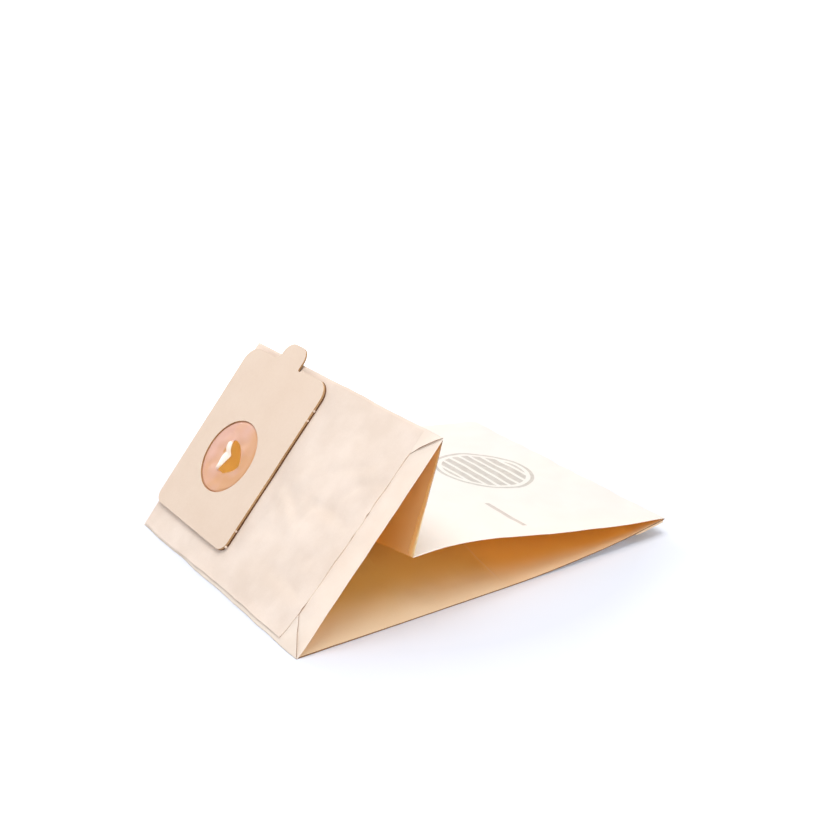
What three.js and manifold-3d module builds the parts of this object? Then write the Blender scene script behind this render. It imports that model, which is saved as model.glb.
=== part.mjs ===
// A paper dust bag for a vacuum cleaner: a block-bottomed bag of folded paper with
// gusseted sides, lying half opened on its back. A patch of paper covers the block
// bottom, and a stiff collar of two boards on it holds a rubber sheet with a slit hole.
//
// The bag's own frame, in millimetres: the floor edge of the block bottom runs along +Y
// from the origin, the bag's length runs along +X to the sealed end, and +Z is up.
import * as THREE from "three";
import { mergeVertices } from "three/addons/utils/BufferGeometryUtils.js";
import Module from "manifold-3d";

const wasm = await Module();
wasm.setup();

// Paper bag
const bagWidth = 200;
const bottomDepth = 141; // floor edge to ridge, which is also the unfolded gusset's width
const bagLength = 267; // along the back sheet, from the floor edge to the sealed end
const paper = 0.4; // outer paper and its inner tissue together
const foldEdge = 0.6; // thickness of the paper where it turns over at a pressed edge
const sealThickness = 1.6; // four plies glued together
const cleft = 0.4; // narrowest gap that is kept open between two sheets
const ridgeInset = 2.3; // corner of the hollow at the ridge, in insets of its lower corners
// Inner face of the gusset's fold, seen along the bag: x, y and z from the fold's outer
// edge, in thicknesses of the paper
const innerFold = [
  [1, 2.5, 1.25],
  [0, 3.2, 0],
  [-0.75, 2.5, -0.75],
];

// How far the bag is opened
const bottomTilt = THREE.MathUtils.degToRad(49); // block bottom over the floor
const stripLean = THREE.MathUtils.degToRad(15.7); // strip behind the ridge, from upright
const stripHeight = 69.6; // ridge to the valley in which the top sheet turns back
const gussetTuck = THREE.MathUtils.degToRad(22); // gusset triangle behind the bottom
const packingCrease = 141; // crease round the body, from the floor edge
const creaseLift = 1.8; // how far the top sheet breaks upward at that crease
const creaseFoldRatio = 0.6; // height of the gusset's fold there, as a share of the gap
const topBow = 2.6; // rise of the top sheet between the valley and the crease
const topSag = 1.4; // dip of the top sheet between the crease and the sealed end
const creaseBehind = 2; // the top sheet breaks this far past the back sheet's crease
const endLift = 10.2; // underside of the sealed end over the floor
const liftPower = 1.9; // how late the back sheet leaves the floor on its way to the end

// Sealed end: turned under and glued
const endFlap = 23;
const endFlapThickness = 0.8;
const sealBand = 7; // stretch at the end in which the plies lie pressed together

// Block bottom: the long flaps and the patch over them
const flapPaper = 0.4;
const flapMeet = 61; // reach of the bare gusset flaps in from each side
const patchPaper = 0.3;
const patchSideInset = 17.5; // near side, where the gusset flap shows
const patchFarInset = 1.5;
const patchEndInset = 1.5; // from the floor edge and from the ridge
const glueGap = 0.3; // between pieces that lie glued on each other

// Collar: two boards with a rubber sheet between them
const boardWidth = 92; // across the bag
const boardHeight = 118.7; // up the block bottom
const backBoard = 0.9;
const frontBoard = 1.1;
const boardRise = 18.5; // lower edge over the floor edge
const boardFarInset = 0.5; // far edge from the bag's far side
const upperCorner = 11;
const lowerCorner = 7;
const tabWidth = 24;
const tabHeight = 13.2;
const tabTipRadius = 8.5;
const tabRootRadius = 4; // fillet on the far side of the tab
const tabNotch = 1.6; // radius of the nick at the near side of the tab
const tabShift = 1; // tab's middle, from the board's middle toward the far side

// Inlet
const inletRadius = 24.7;
const inletRise = 68.2; // centre over the floor edge, up the block bottom
const inletShift = 1.7; // centre from the board's middle toward the far side
const paperHoleRadius = 27;

// Rubber sheet
const rubberRadius = 31;
const rubber = 0.4;
const rubberSeatGap = 0.2; // round the sheet in the seat pressed into the back board
const slitSize = 22; // length and breadth of the hole in the sheet
const lipRadius = 0.75; // curled lip on the far side of the hole

// Numbers of steps along curved stretches
const creaseSteps = 10; // along the body up to the packing crease
const endSteps = 16; // from there to the sealed end
const roundSteps = 72;
const cornerSteps = 8;

// Geometry of the folded paper

const halfGusset = bottomDepth / 2;
const up = new THREE.Vector3(0, 0, 1);
const panelUp = new THREE.Vector3(Math.cos(bottomTilt), 0, Math.sin(bottomTilt));
const panelIn = new THREE.Vector3(Math.sin(bottomTilt), 0, -Math.cos(bottomTilt));
const ridge = panelUp.clone().multiplyScalar(bottomDepth);
const valley = new THREE.Vector3(-Math.sin(stripLean), 0, -Math.cos(stripLean))
  .multiplyScalar(stripHeight)
  .add(ridge);
const cornerFold = panelUp
  .clone()
  .multiplyScalar(halfGusset)
  .addScaledVector(panelIn, halfGusset * Math.sin(gussetTuck));
cornerFold.y = halfGusset * Math.cos(gussetTuck);

const endReach = packingCrease + Math.sqrt((bagLength - packingCrease) ** 2 - endLift ** 2);
const endTop = endLift + sealThickness;

// Height of a chord between two points, with a bow upward in its middle
function bowed(x, from, to, bow) {
  const share = (x - from.x) / (to.x - from.x);
  return THREE.MathUtils.lerp(from.z, to.z, share) + 4 * bow * share * (1 - share);
}

const creaseTop = new THREE.Vector3(packingCrease + creaseBehind, 0, 0);
creaseTop.z = bowed(creaseTop.x, valley, { x: endReach, z: endTop }, 0) + 2 * creaseLift;

function topHeight(x) {
  if (x <= creaseTop.x) return bowed(x, valley, creaseTop, topBow);
  return bowed(x, creaseTop, { x: endReach, z: endTop }, -topSag);
}

function backHeight(x) {
  const share = Math.max(0, (x - packingCrease) / (endReach - packingCrease));
  return endLift * share ** liftPower;
}

// One cross-section of the body. It gives the pressed edge on the floor side, the fold
// of the gusset and the pressed edge on the top side, all on the near side of the bag.
function station(share) {
  const low = new THREE.Vector3(THREE.MathUtils.lerp(halfGusset, endReach, share), 0, 0);
  const high = new THREE.Vector3(THREE.MathUtils.lerp(valley.x, endReach, share), 0, 0);
  low.z = backHeight(low.x);
  high.z = topHeight(high.x);
  const fold = new THREE.Vector3(THREE.MathUtils.lerp(cornerFold.x, endReach, share), 0, 0);
  const creaseShare = (packingCrease - halfGusset) / (endReach - halfGusset);
  const startRatio = cornerFold.z / valley.z;
  const ratio =
    share < creaseShare
      ? THREE.MathUtils.lerp(startRatio, creaseFoldRatio, share / creaseShare)
      : THREE.MathUtils.lerp(creaseFoldRatio, 0.5, (share - creaseShare) / (1 - creaseShare));
  fold.z = THREE.MathUtils.lerp(low.z, high.z, ratio);
  const slack = Math.max(fold.z - low.z, high.z - fold.z);
  const reach = Math.sqrt(halfGusset ** 2 - slack ** 2);
  fold.y = share === 0 ? cornerFold.y : reach;
  return { low, fold, high };
}

function stationShares() {
  const creaseShare = (packingCrease - halfGusset) / (endReach - halfGusset);
  const shares = [];
  for (let i = 0; i < creaseSteps; i++) shares.push((creaseShare * i) / creaseSteps);
  for (let i = 0; i < endSteps; i++) shares.push(creaseShare + ((1 - creaseShare) * i) / endSteps);
  return shares;
}

// Closed rings of points: the near side's points from the top sheet down to the back
// sheet, then the far side's points back up.
function ring(nearPoints) {
  const far = nearPoints.map((p) => new THREE.Vector3(p.x, bagWidth - p.y, p.z));
  return [...nearPoints, ...far.reverse()];
}

function outerRing({ low, fold, high }) {
  return ring([
    high,
    high.clone().addScaledVector(up, -foldEdge),
    fold,
    low.clone().addScaledVector(up, foldEdge),
    low,
  ]);
}

// The hollow's section: each sheet's inner face, with square corners where the gap
// between two sheets narrows to a cleft.
function innerRing({ low, fold, high }) {
  const across = (edge) => {
    const slope = (Math.abs(edge.z - fold.z) - foldEdge) / fold.y;
    const inset = (cleft + 2 * paper - foldEdge) / slope;
    return Math.min(inset, 0.8 * fold.y);
  };
  const highIn = across(high);
  const lowIn = across(low);
  return ring([
    new THREE.Vector3(high.x, highIn, high.z - paper),
    new THREE.Vector3(high.x, highIn, high.z - paper - cleft),
    ...innerFold.map((p) => new THREE.Vector3(...p).multiplyScalar(paper).add(fold)),
    new THREE.Vector3(low.x, lowIn, low.z + paper + cleft),
    new THREE.Vector3(low.x, lowIn, low.z + paper),
  ]);
}

// Skin through a row of rings with equal numbers of points, closed by a cap at each end.
// turned(i) tells which diagonal splits the faces between ring points i and i + 1.
function loft(rings, turned) {
  const count = rings[0].length;
  const positions = rings.flat().flatMap((p) => [p.x, p.y, p.z]);
  const faces = [];
  for (let r = 0; r + 1 < rings.length; r++) {
    for (let i = 0; i < count; i++) {
      const j = (i + 1) % count;
      const [a, b] = [r * count + i, r * count + j];
      const [c, d] = [a + count, b + count];
      if (turned(i, r)) faces.push(a, b, c, b, d, c);
      else faces.push(a, d, c, a, b, d);
    }
  }
  faces.push(...capFaces(rings[0], 0, true));
  faces.push(...capFaces(rings.at(-1), (rings.length - 1) * count, false));
  const geometry = new THREE.BufferGeometry();
  geometry.setAttribute("position", new THREE.Float32BufferAttribute(positions, 3));
  geometry.setIndex(faces);
  return geometry;
}

// A cap is filled in its flat outline: across the bag and up the sheet's own slope
function capFaces(points, first, flip) {
  const rise = points[0].clone().sub(points[points.length / 2 - 1]);
  rise.y = 0;
  rise.normalize();
  const flat = points.map((p) => new THREE.Vector2(p.y, p.dot(rise)));
  const faces = THREE.ShapeUtils.triangulateShape(flat, []);
  return faces.flatMap(([a, b, c]) =>
    (flip ? [a, c, b] : [a, b, c]).map((k) => first + k)
  );
}

// Joins and cuts

function solid(geometry) {
  const bare = geometry.index ? geometry : geometry.clone();
  bare.deleteAttribute("normal");
  bare.deleteAttribute("uv");
  const merged = mergeVertices(bare, 1e-4);
  return new wasm.Manifold(
    new wasm.Mesh({
      numProp: 3,
      vertProperties: new Float32Array(merged.attributes.position.array),
      triVerts: new Uint32Array(merged.index.array),
    })
  );
}

function geometryOf(manifold) {
  const mesh = manifold.getMesh();
  const geometry = new THREE.BufferGeometry();
  geometry.setAttribute("position", new THREE.BufferAttribute(mesh.vertProperties, 3));
  geometry.setIndex(new THREE.BufferAttribute(mesh.triVerts, 1));
  geometry.computeVertexNormals();
  return geometry;
}

// Flat pieces on the block bottom are drawn with x up its slope and y across the bag,
// and z is the height over the bare paper.
function plate(shape, from, thickness) {
  const geometry = new THREE.ExtrudeGeometry(shape, {
    depth: thickness,
    bevelEnabled: false,
    curveSegments: cornerSteps,
  });
  return geometry.translate(0, 0, from);
}

function disc(radius, from, to) {
  const geometry = new THREE.CylinderGeometry(radius, radius, to - from, roundSteps);
  geometry.rotateX(Math.PI / 2);
  return geometry.translate(inletRise, inletAcross, (from + to) / 2);
}

function onPanel(geometry) {
  return geometry.rotateY(-bottomTilt);
}

const boardFar = bagWidth - boardFarInset;
const boardNear = boardFar - boardWidth;
const boardMiddle = (boardFar + boardNear) / 2;
const inletAcross = boardMiddle + inletShift;

// Heights over the bare paper of the block bottom
const patchFrom = flapPaper + glueGap;
const backBoardFrom = patchFrom + patchPaper + glueGap;
const frontBoardFrom = backBoardFrom + backBoard + glueGap;
const rubberFrom = frontBoardFrom - glueGap - rubber;

// The paper bag

function bagOutside() {
  const bottomRing = ring([
    ridge,
    ridge.clone().addScaledVector(panelUp, -foldEdge),
    panelUp.clone().multiplyScalar(halfGusset),
    panelUp.clone().multiplyScalar(foldEdge),
    new THREE.Vector3(),
  ]);
  const shares = [...stationShares(), 1];
  const rings = [bottomRing, ...shares.map((s) => outerRing(station(s)))];
  // The corner creases run from the ridge and the floor edge to the gusset's fold
  return solid(loft(rings, (i) => i === 2 || i === 7));
}

// How far from a crease the inner faces of two sheets meet, measured along the first
function miter(angle, firstDepth, secondDepth) {
  return (secondDepth + firstDepth * Math.cos(angle)) / Math.sin(angle);
}

function bagHollow() {
  const depth = 2 * paper;
  const from = miter(bottomTilt, depth, paper);
  const to = bottomDepth - miter(Math.PI / 2 - bottomTilt - stripLean, depth, paper);
  const inset = miter(gussetTuck, depth, paper);
  const point = (rise, across) => {
    const p = panelUp.clone().multiplyScalar(rise).addScaledVector(panelIn, depth);
    p.y = across;
    return p;
  };
  const behindBottom = ring([
    point(to, ridgeInset * inset),
    point(to - cleft, ridgeInset * inset),
    point(halfGusset + cleft, inset),
    point(halfGusset, inset),
    point(halfGusset - cleft, inset),
    point(from + cleft, inset),
    point(from, inset),
  ]);
  const lastShare = 1 - sealBand / (endReach - halfGusset);
  const shares = stationShares().filter((s) => s < lastShare - 0.01);
  const inners = [...shares, lastShare].map((s) => innerRing(station(s)));
  // At the valley the inner faces meet nearer to the block bottom than the outer ones
  const count = inners[0].length;
  for (const i of [0, 1, count - 2, count - 1]) inners[0][i].x -= 2 * paper;
  return solid(loft([behindBottom, ...inners], (i) => i === 4 || i === 11));
}

function endFold() {
  const flapShare = 1 - endFlap / (endReach - halfGusset);
  const steps = 3;
  const rings = [];
  for (let i = 0; i <= steps; i++) {
    const { low } = station(THREE.MathUtils.lerp(flapShare, 1, i / steps));
    const over = low.clone().addScaledVector(up, foldEdge / 2);
    rings.push(ring([over, low.clone().addScaledVector(up, -endFlapThickness)]));
  }
  return solid(loft(rings, () => false));
}

// The two long flaps are mitred at the bag's corners, and meet under the patch
function longFlaps() {
  const sunk = paper / 2;
  const shape = new THREE.Shape();
  shape.moveTo(sunk, 0);
  shape.lineTo(flapMeet, flapMeet);
  shape.lineTo(bottomDepth - flapMeet, flapMeet);
  shape.lineTo(bottomDepth, 0);
  shape.lineTo(bottomDepth, bagWidth);
  shape.lineTo(bottomDepth - flapMeet, bagWidth - flapMeet);
  shape.lineTo(flapMeet, bagWidth - flapMeet);
  shape.lineTo(sunk, bagWidth);
  shape.closePath();
  return solid(onPanel(plate(shape, -sunk, flapPaper + sunk)));
}

function bagBody() {
  const hole = solid(onPanel(disc(paperHoleRadius, -3 * paper, 3 * flapPaper)));
  return bagOutside().add(longFlaps()).add(endFold()).subtract(bagHollow()).subtract(hole);
}

// The patch over the block bottom

function coverPatch() {
  const shape = new THREE.Shape();
  const [low, high] = [patchEndInset, bottomDepth - patchEndInset];
  const [near, far] = [patchSideInset, bagWidth - patchFarInset];
  shape.moveTo(low, near);
  shape.lineTo(high, near);
  shape.lineTo(high, far);
  shape.lineTo(low, far);
  shape.closePath();
  shape.holes.push(roundHole(paperHoleRadius));
  return plate(shape, patchFrom, patchPaper);
}

function roundHole(radius) {
  const path = new THREE.Path();
  for (let i = 0; i < roundSteps; i++) {
    const turn = (-2 * Math.PI * i) / roundSteps;
    const x = inletRise + radius * Math.cos(turn);
    const y = inletAcross + radius * Math.sin(turn);
    if (i === 0) path.moveTo(x, y);
    else path.lineTo(x, y);
  }
  path.closePath();
  return path;
}

// The collar's outline: round corners and a round tab on the upper edge

function boardShape() {
  const low = boardRise;
  const high = boardRise + boardHeight;
  const tabMiddle = boardMiddle + tabShift;
  const [tabNear, tabFar] = [tabMiddle - tabWidth / 2, tabMiddle + tabWidth / 2];
  const shape = new THREE.Shape();
  const quarter = Math.PI / 2;
  shape.moveTo(low, boardNear + lowerCorner);
  shape.absarc(low + lowerCorner, boardNear + lowerCorner, lowerCorner, 2 * quarter, 3 * quarter);
  shape.absarc(high - upperCorner, boardNear + upperCorner, upperCorner, -quarter, 0);
  shape.lineTo(high, tabNear - 2 * tabNotch);
  shape.absarc(high, tabNear - tabNotch, tabNotch, -quarter, -3 * quarter, true);
  shape.absarc(high + tabHeight - tabTipRadius, tabNear + tabTipRadius, tabTipRadius, -quarter, 0);
  shape.absarc(high + tabHeight - tabTipRadius, tabFar - tabTipRadius, tabTipRadius, 0, quarter);
  shape.absarc(high + tabRootRadius, tabFar + tabRootRadius, tabRootRadius, -quarter, -2 * quarter, true);
  shape.absarc(high - upperCorner, boardFar - upperCorner, upperCorner, 0, quarter);
  shape.absarc(low + lowerCorner, boardFar - lowerCorner, lowerCorner, quarter, 2 * quarter);
  return shape;
}

function backBoardSolid() {
  const shape = boardShape();
  shape.holes.push(roundHole(inletRadius));
  const seat = disc(rubberRadius + rubberSeatGap, rubberFrom - rubberSeatGap, frontBoardFrom);
  return solid(plate(shape, backBoardFrom, backBoard)).subtract(solid(seat));
}

function frontBoardSolid() {
  const shape = boardShape();
  shape.holes.push(roundHole(inletRadius));
  return solid(plate(shape, frontBoardFrom, frontBoard));
}

// The rubber sheet. Its hole is a leaning heart: two lobes on the far side with a cusp
// between them, along which the sheet curls up into a lip.

// A point given up the slope and toward the far side, as shares of the hole's size
function slitPoint([rise, across], height = 0) {
  return new THREE.Vector3(
    inletRise + rise * slitSize,
    inletAcross + across * slitSize,
    height
  );
}

const slitLip = [
  [0.4, 0.26],
  [0.24, 0.2],
  [0.02, 0.04],
  [-0.3, 0.1],
  [-0.46, 0.15],
];
const slitNear = [
  [-0.48, -0.18],
  [-0.34, -0.42],
  [-0.12, -0.58],
  [0.1, -0.5],
  [0.34, -0.26],
  [0.49, 0.08],
];

function rubberSheet() {
  const rim = new THREE.CatmullRomCurve3(
    [...slitLip, ...slitNear].map((p) => slitPoint(p)),
    true
  );
  const slit = new THREE.Shape(rim.getPoints(roundSteps).slice(1));
  const cut = plate(slit, rubberFrom - rubber, 3 * rubber);
  const lipLine = new THREE.CatmullRomCurve3(
    slitLip.map((p) => slitPoint(p, rubberFrom + rubber))
  );
  const lip = new THREE.ExtrudeGeometry(new THREE.Shape().absarc(0, 0, lipRadius, 0, 2 * Math.PI), {
    extrudePath: lipLine,
    steps: roundSteps / 3,
    curveSegments: cornerSteps / 2,
    bevelEnabled: false,
  });
  return solid(disc(rubberRadius, rubberFrom, rubberFrom + rubber))
    .subtract(solid(cut))
    .add(solid(lip));
}

// Assembly

const kraft = new THREE.MeshStandardMaterial({ color: 0xf3e4d3, roughness: 0.85, metalness: 0 });
const board = new THREE.MeshStandardMaterial({ color: 0xeedac8, roughness: 0.9, metalness: 0 });
const peach = new THREE.MeshStandardMaterial({ color: 0xebbfa8, roughness: 0.5, metalness: 0 });

function part(name, geometry, material) {
  const mesh = new THREE.Mesh(geometry, material);
  mesh.name = name;
  return mesh;
}

const onBottom = new THREE.Group();
onBottom.rotation.y = -bottomTilt;
onBottom.add(part("bottom_cover_patch", coverPatch(), kraft));
onBottom.add(part("collar_back_board", geometryOf(backBoardSolid()), board));
onBottom.add(part("inlet_rubber_sheet", geometryOf(rubberSheet()), peach));
onBottom.add(part("collar_front_board", geometryOf(frontBoardSolid()), board));

const bag = new THREE.Group();
bag.add(part("paper_bag", geometryOf(bagBody()), kraft));
bag.add(onBottom);

// The origin is on the floor, under the middle of the whole object's box
const frontMost = (paper / 2) * Math.cos(bottomTilt) - flapPaper * Math.sin(bottomTilt);
bag.position.set(-(frontMost + endReach) / 2, -bagWidth / 2, 0);

const model = new THREE.Group();
model.add(bag);
export default model;
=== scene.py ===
import math
from collections import namedtuple

import bmesh
import bpy
import numpy as np
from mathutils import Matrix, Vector, noise


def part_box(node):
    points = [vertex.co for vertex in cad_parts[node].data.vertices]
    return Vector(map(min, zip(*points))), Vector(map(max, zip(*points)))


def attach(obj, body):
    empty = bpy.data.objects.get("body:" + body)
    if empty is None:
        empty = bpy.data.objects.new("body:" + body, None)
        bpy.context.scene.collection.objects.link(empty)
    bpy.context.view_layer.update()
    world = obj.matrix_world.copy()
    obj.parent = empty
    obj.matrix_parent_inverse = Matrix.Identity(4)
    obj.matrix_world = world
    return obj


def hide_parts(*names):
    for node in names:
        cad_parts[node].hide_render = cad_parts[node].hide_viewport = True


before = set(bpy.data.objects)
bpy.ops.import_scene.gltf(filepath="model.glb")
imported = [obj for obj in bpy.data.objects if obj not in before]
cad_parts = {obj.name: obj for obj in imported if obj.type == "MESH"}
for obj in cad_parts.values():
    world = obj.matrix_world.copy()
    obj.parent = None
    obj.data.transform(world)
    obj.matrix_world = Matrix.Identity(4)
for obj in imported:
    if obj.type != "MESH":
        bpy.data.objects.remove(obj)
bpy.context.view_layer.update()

# Bag paper
# One sheet of tan filter paper, folded flat into a tube with tucked sides and a block
# bottom. It lies half opened on its back sheet, and its folds are pressed by machine.
bag_width = 200.0
bottom_depth = 141.0
bag_length = 267.0
bottom_tilt = math.radians(49)
strip_lean = math.radians(15.7)
strip_height = 69.6
gusset_tuck = math.radians(22)
packing_crease = 141.0
crease_behind = 2.0
crease_lift = 1.8
crease_fold_ratio = 0.6
end_fold_ratio = 0.5
top_bow = 2.6
top_sag = 1.4
end_lift = 10.2
lift_power = 1.9
end_thickness = 1.6
end_round = 0.8
edge_round = 0.3
edge_inset = 1.6
edge_depth = 0.5
wall = 0.25
hole_radius = 27.0
hole_margin = 2.0
inlet_rise = 68.2
inlet_across = 155.2
corner_rows = 30
crease_rows = 26
end_rows = 50
end_steps = 3
columns = 74
rim_cell = 2.2
gusset_columns = 24
edge_steps = 3
twist_low = -1.7
twist_high = 1.9
twist_reach = 45.0
ring_steps = 4

half_gusset = bottom_depth / 2
end_reach = packing_crease + math.sqrt((bag_length - packing_crease) ** 2 - end_lift ** 2)
panel_up = np.array([math.cos(bottom_tilt), 0, math.sin(bottom_tilt)])
panel_in = np.array([math.sin(bottom_tilt), 0, -math.cos(bottom_tilt)])
up = np.array([0.0, 0.0, 1.0])
floor_corner = np.zeros(3)
ridge = panel_up * bottom_depth
valley = ridge + strip_height * np.array([-math.sin(strip_lean), 0, -math.cos(strip_lean)])
corner_fold = panel_up * half_gusset + panel_in * half_gusset * math.sin(gusset_tuck)
corner_fold[1] = half_gusset * math.cos(gusset_tuck)

# The bag's own frame, in millimetres, has its origin at the near floor corner
high_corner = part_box("paper_bag")[1]
shift = np.array([high_corner.x * 1000 - end_reach, -bag_width / 2, 0])


def placed(points):
    """Points in the part's own frame, with the block bottom's slight twist."""
    bag = np.array(points, float).reshape(-1, 3)
    rise = bag @ panel_up / bottom_depth
    behind = np.maximum(bag @ panel_in, 0)
    side = 1 - 2 * bag[:, 1] / bag_width
    fading = np.exp(-(behind / twist_reach) ** 2)
    bag[:, 0] += lerp(twist_low, twist_high, rise) * side * fading
    return (bag + shift) / 1000


def on_bottom(rise, across, height):
    return panel_up * rise - panel_in * height + np.array([0, across, 0])


def lerp(a, b, share):
    return a + (b - a) * share


def bowed(x, start, end, bow):
    share = (x - start[0]) / (end[0] - start[0])
    return lerp(start[1], end[1], share) + 4 * bow * share * (1 - share)


end_top = end_lift + end_thickness
crease_x = packing_crease + crease_behind
crease_z = bowed(crease_x, (valley[0], valley[2]), (end_reach, end_top), 0) + 2 * crease_lift


def top_height(x):
    if x <= crease_x:
        return bowed(x, (valley[0], valley[2]), (crease_x, crease_z), top_bow)
    return bowed(x, (crease_x, crease_z), (end_reach, end_top), -top_sag)


def back_height(x):
    share = max(0.0, (x - packing_crease) / (end_reach - packing_crease))
    return end_lift * share ** lift_power


crease_share = (packing_crease - half_gusset) / (end_reach - half_gusset)
crease_half = 0.0045
crease_stand = 0.32


def station(share):
    low = np.array([lerp(half_gusset, end_reach, share), 0, 0])
    high = np.array([lerp(valley[0], end_reach, share), 0, 0])
    fold = np.array([lerp(corner_fold[0], end_reach, share), 0, 0])
    low[2] = back_height(low[0])
    high[2] = top_height(high[0])
    if share < crease_share:
        ratio = lerp(corner_fold[2] / valley[2], crease_fold_ratio, share / crease_share)
    else:
        past = (share - crease_share) / (1 - crease_share)
        ratio = lerp(crease_fold_ratio, end_fold_ratio, past)
    fold[2] = lerp(low[2], high[2], ratio)
    slack = max(fold[2] - low[2], high[2] - fold[2])
    fold[1] = corner_fold[1] if share == 0 else math.sqrt(half_gusset ** 2 - slack ** 2)
    return high, fold, low


def edge_arc(outer, inner):
    """The round of a pressed edge, from the outer sheet's rim to the gusset's rim."""
    points = []
    for i in range(edge_steps + 1):
        turn = math.pi * i / edge_steps
        p = lerp(outer, inner, (1 - math.cos(turn)) / 2)
        p[1] = edge_round * (1 - math.sin(turn))
        points.append(p)
    return points


def straight(a, b, steps):
    return [lerp(a, b, i / steps) for i in range(steps + 1)]


def rimmed(p):
    q = p.copy()
    q[1] = edge_round
    return q


# Rows of points from the block bottom to the sealed end. Each goes round the near half:
# the top sheet's rim, its pressed edge, the gusset's two leaves, the back sheet's edge and rim
Row = namedtuple("Row", "top top_edge upper lower back_edge back")
ridge_rim = rimmed(ridge - panel_up * edge_inset + panel_in * edge_depth)
floor_rim = rimmed(panel_up * edge_inset + panel_in * edge_depth)
blunt = 2 * edge_round
rows = []
high, fold, low = station(0)
high_rim = rimmed(high - up * blunt)
low_rim = rimmed(low + up * blunt)
corner_sheets = []
for i in range(corner_rows + 1):
    t = i / corner_rows
    top = rimmed(lerp(ridge, high, t))
    top_in = lerp(ridge_rim, high_rim, t)
    upper = lerp(ridge_rim, fold, t)
    lower = lerp(floor_rim, fold, t)
    back_in = lerp(floor_rim, low_rim, t)
    back = rimmed(lerp(floor_corner, low, t))
    corner_sheets.append(straight(upper, lower, 2 * gusset_columns))
    rows.append(Row(top, edge_arc(top, top_in), straight(top_in, upper, gusset_columns),
                    straight(lower, back_in, gusset_columns), edge_arc(back, back_in), back))
shares = [crease_share * i / crease_rows for i in range(1, crease_rows)]
shares += [crease_share - crease_half, crease_share, crease_share + crease_half]
shares += [lerp(crease_share, 1, i / end_rows) for i in range(1, end_rows + 1)]
for share in shares:
    high, fold, low = station(share)
    if share == 1:
        for p in (high, fold, low):
            p[0] -= end_round
    top = rimmed(high)
    back = rimmed(low)
    top_in = rimmed(high - up * blunt)
    back_in = rimmed(low + up * blunt)
    upper, lower = straight(top_in, fold, gusset_columns), straight(fold, back_in, gusset_columns)
    if share == crease_share:
        for p in upper[1:] + lower[:-1]:
            p[1] -= crease_stand
    rows.append(Row(top, edge_arc(top, top_in), upper, lower, edge_arc(back, back_in), back))


def rounded_end(part, turn):
    """A part of the last row, drawn in toward the seam's middle plane and outward."""
    if isinstance(part, list):
        return [rounded_end(p, turn) for p in part]
    middle = end_lift + end_thickness / 2
    made = part.copy()
    made[0] += end_round * math.sin(turn)
    made[2] = middle + (part[2] - middle) * math.cos(turn)
    return made


last = rows[-1]
for i in range(1, end_steps + 1):
    turn = math.pi / 2 * i / end_steps
    rows.append(Row(*(rounded_end(part, turn) for part in last)))

inner_across = np.linspace(rim_cell, bag_width - rim_cell, columns - 1)
across = np.concatenate([[edge_round], inner_across, [bag_width - edge_round]])
rises = np.linspace(0, bottom_depth, 2 * gusset_columns + 1)


def wide(p):
    """A row of points across the bag, level with p."""
    return [np.array([p[0], y, p[2]]) for y in across]


def mirrored(grid):
    return [[np.array([p[0], bag_width - p[1], p[2]]) for p in line] for line in grid]


class Skin:
    """Gathers grids of points into one mesh."""

    def __init__(self):
        self.points = []
        self.faces = []
        self.tags = []
        self.depths = []

    def grid(self, lines, tag=0, depth=None):
        """Adds a grid of points; depth tells how deep in a fold each place of a line lies."""
        first = len(self.points)
        count = len(lines[0])
        for r, line in enumerate(lines):
            self.points.extend(line)
            self.depths.extend(depth(r, c / (count - 1)) if depth else 0.0
                               for c in range(count))
        for r in range(len(lines) - 1):
            for c in range(count - 1):
                a = first + r * count + c
                self.faces.append((a, a + 1, a + count + 1, a + count))
                self.tags.append(tag)

    def holed(self, rise_lines, across_lines, height, block, centre, radius):
        """A flat sheet on the block bottom, with a round hole inside a block of cells."""
        i0, i1, j0, j1 = block
        index = {}

        def corner(i, j):
            if (i, j) not in index:
                index[i, j] = len(self.points)
                self.points.append(on_bottom(rise_lines[i], across_lines[j], height))
                self.depths.append(0.0)
            return index[i, j]

        for i in range(len(rise_lines) - 1):
            for j in range(len(across_lines) - 1):
                if i0 <= i < i1 and j0 <= j < j1:
                    continue
                self.faces.append((corner(i, j), corner(i, j + 1),
                                   corner(i + 1, j + 1), corner(i + 1, j)))
                self.tags.append(0)
        loop = [(i0, j) for j in range(j0, j1)] + [(i, j1) for i in range(i0, i1)]
        loop += [(i1, j) for j in range(j1, j0, -1)] + [(i, j0) for i in range(i1, i0, -1)]
        previous = [corner(i, j) for i, j in loop]
        for k in range(1, ring_steps + 1):
            ring = []
            for i, j in loop:
                rise, over = rise_lines[i] - centre[0], across_lines[j] - centre[1]
                turn = math.atan2(over, rise)
                rim = (radius * math.cos(turn), radius * math.sin(turn))
                share = k / ring_steps
                ring.append(len(self.points))
                self.points.append(on_bottom(centre[0] + lerp(rise, rim[0], share),
                                             centre[1] + lerp(over, rim[1], share), height))
                self.depths.append(0.0)
            for n in range(len(loop)):
                m = (n + 1) % len(loop)
                self.faces.append((previous[n], previous[m], ring[m], ring[n]))
                self.tags.append(0)
            previous = ring


def hole_block(rise_lines, across_lines, margin):
    i = np.searchsorted(rise_lines, [inlet_rise - margin, inlet_rise + margin])
    j = np.searchsorted(across_lines, [inlet_across - margin, inlet_across + margin])
    return int(i[0]) - 1, int(i[1]), int(j[0]) - 1, int(j[1])


def smooth_step(x):
    x = min(1.0, max(0.0, x))
    return x * x * (3 - 2 * x)


# The paper is not quite flat: it keeps soft dents and small puckers from handling. Each
# kind has a size, a strength and an offset, and the seed keeps them the same in each run
dent_kinds = ((31, 0.75, 0), (13, 0.55, 40), (6, 0.18, 90))
dent_seed = 5
noise.seed_set(dent_seed)


def dents(p):
    return sum(np.array(noise.noise_vector(Vector(p + offset) / size)) * strength
               for size, strength, offset in dent_kinds)


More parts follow.
